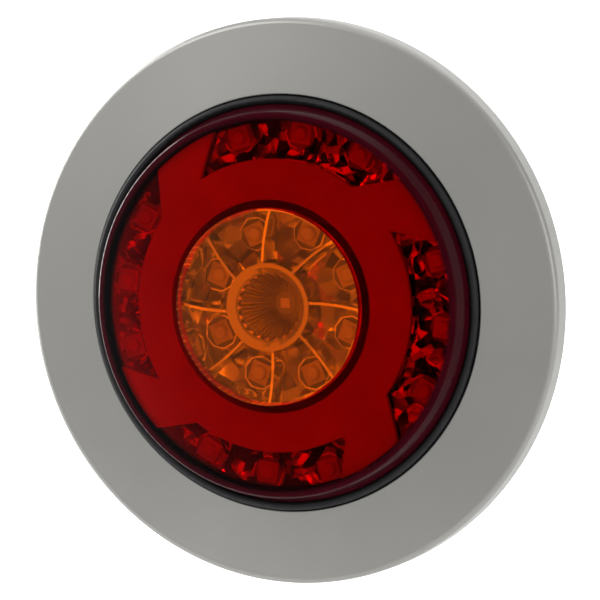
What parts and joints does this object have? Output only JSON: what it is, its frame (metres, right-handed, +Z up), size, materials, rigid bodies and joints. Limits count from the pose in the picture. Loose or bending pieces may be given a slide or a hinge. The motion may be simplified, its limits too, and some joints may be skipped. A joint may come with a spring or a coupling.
{
  "type": "round trailer tail light",
  "caption": "Round LED trailer rear lamp with domed red lens, amber centre, black rubber gasket and wide stainless trim ring, bolted through a panel by studs at the back.",
  "frame": {"origin": "on the lamp's axis, in the plane of the vehicle panel that the lamp's flange gasket rests on", "axes": "-Y is the way the lamp shines, +Y goes back into the vehicle, +Z up, +X to the right seen from in front"},
  "size_m": [0.19, 0.0773, 0.19],
  "materials": {
    "stainless": "satin-polished",
    "black_rubber": "semi-matte",
    "red_acrylic": "polished, transparent",
    "amber_acrylic": "polished, transparent",
    "clear_sealant": "cured bead",
    "red_diffuser": "matte, light-diffusing",
    "metallised_plastic": "vacuum-metallised",
    "board_laminate": "white solder mask",
    "diode_package": "moulded",
    "component_black": "moulded",
    "capacitor_can": "sleeved can",
    "lead_insulation": "extruded",
    "housing_plastic": "fine moulded grain",
    "foam": "closed-cell foam",
    "zinc_steel": "zinc plated",
    "contact_brass": "tin-flashed"
  },
  "bodies": {
    "lamp": {"rubber_gasket": "black_rubber", "outer_lens": "red_acrylic", "centre_lens": "amber_acrylic", "lens_sealant": "clear_sealant", "position_diffuser": "red_diffuser", "window_reflector": "metallised_plastic", "centre_reflector": "metallised_plastic", "main_board": "board_laminate", "red_leds": "diode_package", "amber_leds": "diode_package", "centre_led": "diode_package", "position_leds": "diode_package", "resistors": "component_black", "driver_chips": "component_black", "capacitors": "capacitor_can", "diodes": "component_black", "inductors": "component_black", "board_header": "housing_plastic", "housing": "housing_plastic", "panel_gasket": "foam", "mounting_studs": "zinc_steel", "ring_clips": "zinc_steel", "clip_screws": "zinc_steel", "board_screws": "zinc_steel", "vent_plug": "housing_plastic", "inlet_socket": "housing_plastic", "socket_pins": "contact_brass", "internal_leads": "lead_insulation", "socket_seal": "black_rubber", "socket_screws": "zinc_steel"},
    "ring": {"trim_ring": "stainless"}
  },
  "joints": [
    {"name": "ring_release", "type": "slide", "parent": "lamp", "child": "ring", "axis": [0, -1, 0], "range_m": [0, 0.045]}
  ]
}
